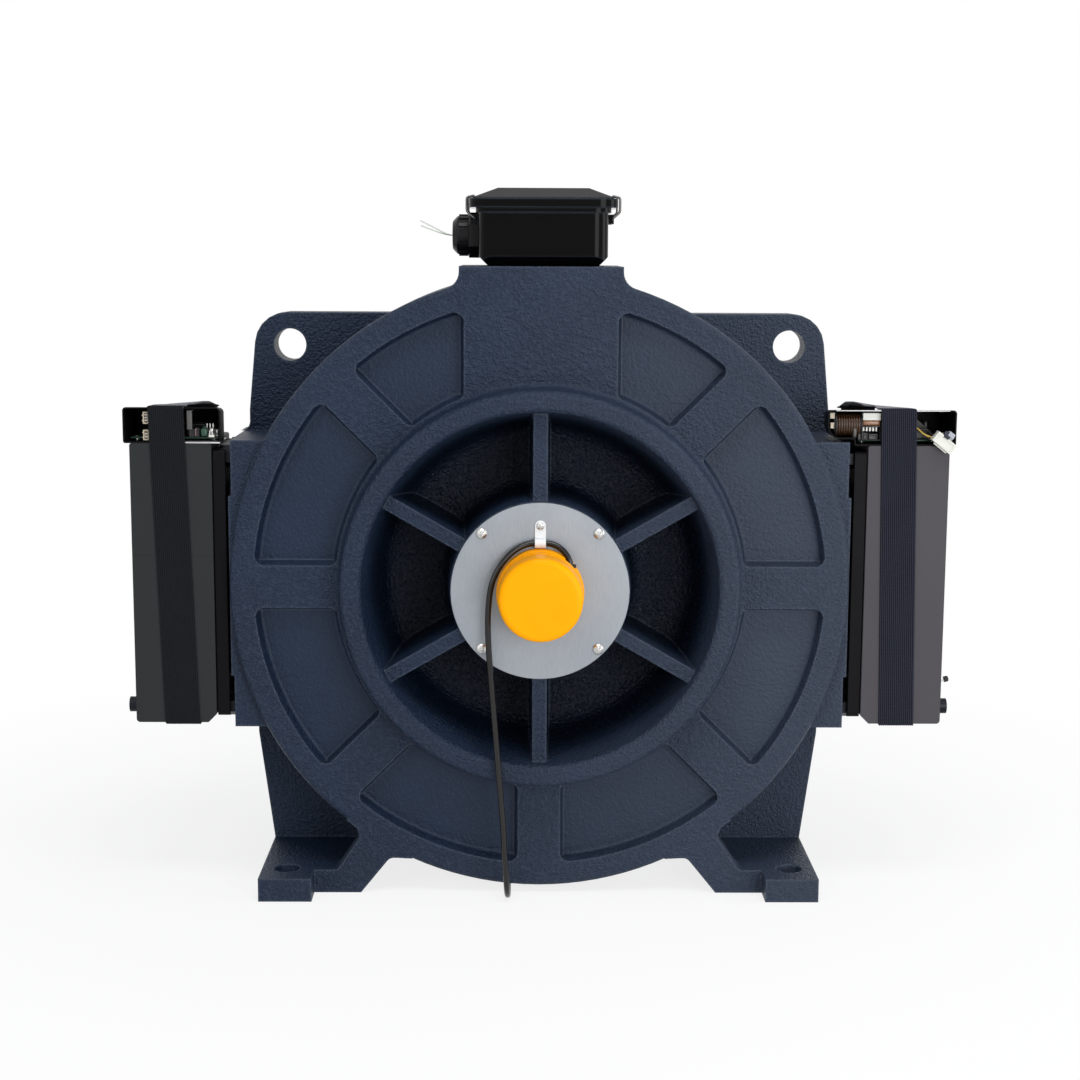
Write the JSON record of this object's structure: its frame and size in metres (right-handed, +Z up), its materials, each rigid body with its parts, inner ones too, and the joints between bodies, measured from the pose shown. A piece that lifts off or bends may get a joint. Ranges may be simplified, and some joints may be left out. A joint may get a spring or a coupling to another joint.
{
  "type": "elevator traction machine",
  "caption": "Gearless elevator traction machine with round ribbed housing, drum rotor, grooved sheave, encoder and a spring-applied brake on each side.",
  "frame": {"origin": "on the floor, at the centre of the four foot holes", "axes": "+X to the right seen from the encoder, +Y along the shaft from the encoder to the sheave, +Z up"},
  "size_m": [0.7, 0.296, 0.5965],
  "materials": {
    "casting_paint": "semi-gloss orange-peel enamel over rough casting",
    "lamination_steel": "laminated",
    "winding_copper": "varnished copper",
    "bright_steel": "bright zinc or ground",
    "rotor_iron": "machined",
    "magnet_metal": "nickel plated",
    "sheave_iron": "machined grooves",
    "dark_paint": "satin black",
    "zinc_plate": "galvanised, brushed",
    "encoder_metal": "satin",
    "yellow_plastic": "glossy yellow-orange",
    "black_rubber": "matte",
    "white_nylon": "natural nylon",
    "cable_jacket": "glossy jacket",
    "black_plastic": "satin",
    "gloss_black": "polished black",
    "spring_steel": "spring wire",
    "cream_plastic": "moulded",
    "wire_jacket": "thin insulation",
    "left_brake_paint": "dark green-grey satin",
    "right_brake_paint": "warm grey satin",
    "shoe_iron": "machined",
    "black_steel": "black oxide",
    "board_green": "solder mask",
    "strap_webbing": "ribbed woven strap"
  },
  "bodies": {
    "frame": {"frame_casting": "casting_paint", "stator_core": "lamination_steel", "stator_winding": "winding_copper", "main_bearing_cap": "casting_paint", "cap_screws": "bright_steel", "rear_bearing_outer_ring": "bright_steel", "rear_bearing_balls": "bright_steel", "main_bearing_outer_ring": "bright_steel", "main_bearing_balls": "bright_steel", "encoder_plate": "zinc_plate", "encoder_screws": "bright_steel", "encoder_body": "encoder_metal", "encoder_collar": "yellow_plastic", "encoder_cap": "yellow_plastic", "cable_grommet": "black_rubber", "cable_clip": "white_nylon", "encoder_cable": "cable_jacket", "cable_coil": "cable_jacket", "encoder_plug": "black_plastic", "terminal_box": "gloss_black", "box_lid": "gloss_black", "terminal_block": "cream_plastic", "box_screws": "bright_steel", "gland_body": "black_plastic", "gland_nut": "black_plastic", "sensor_wires": "wire_jacket", "left_magnet": "left_brake_paint", "left_coils": "winding_copper", "left_springs": "spring_steel", "left_guide_pins": "bright_steel", "left_sleeves": "black_steel", "left_bolts": "black_steel", "left_cover": "dark_paint", "left_circuit_board": "board_green", "left_strap": "strap_webbing", "right_magnet": "right_brake_paint", "right_coils": "winding_copper", "right_springs": "spring_steel", "right_guide_pins": "bright_steel", "right_sleeves": "black_steel", "right_bolts": "black_steel", "right_cover": "dark_paint", "right_circuit_board": "board_green", "right_strap": "strap_webbing"},
    "rotor": {"rear_bearing_inner_ring": "bright_steel", "main_bearing_inner_ring": "bright_steel", "main_shaft": "bright_steel", "rotor_key": "bright_steel", "rotor_drum": "rotor_iron", "rotor_magnets": "magnet_metal", "traction_sheave": "sheave_iron", "rotor_bolts": "bright_steel", "shaft_end_plate": "dark_paint", "encoder_spindle": "bright_steel"},
    "left_armature": {"left_armature": "dark_paint", "left_brake_shoe": "shoe_iron"},
    "right_armature": {"right_armature": "dark_paint", "right_brake_shoe": "shoe_iron"},
    "left_bail": {"left_lid_bail": "spring_steel"},
    "right_bail": {"right_lid_bail": "spring_steel"}
  },
  "joints": [
    {"name": "rotor_spin", "type": "hinge", "parent": "frame", "child": "rotor", "pos_m": [0, 0, 0.266], "axis": [0, 1, 0], "continuous": true},
    {"name": "left_brake_release", "type": "slide", "parent": "frame", "child": "left_armature", "axis": [-1, 0, 0], "range_m": [0, 0.0005], "stiffness_N_per_m": 50000, "springref_m": -0.01},
    {"name": "right_brake_release", "type": "slide", "parent": "frame", "child": "right_armature", "axis": [1, 0, 0], "range_m": [0, 0.0005], "stiffness_N_per_m": 50000, "springref_m": -0.01},
    {"name": "left_bail_swing", "type": "hinge", "parent": "frame", "child": "left_bail", "pos_m": [-0.0552, -0.033, 0.571], "axis": [0, 1, 0], "range_deg": [-60, 0]},
    {"name": "right_bail_swing", "type": "hinge", "parent": "frame", "child": "right_bail", "pos_m": [0.0592, -0.033, 0.571], "axis": [0, 1, 0], "range_deg": [0, 100]}
  ]
}
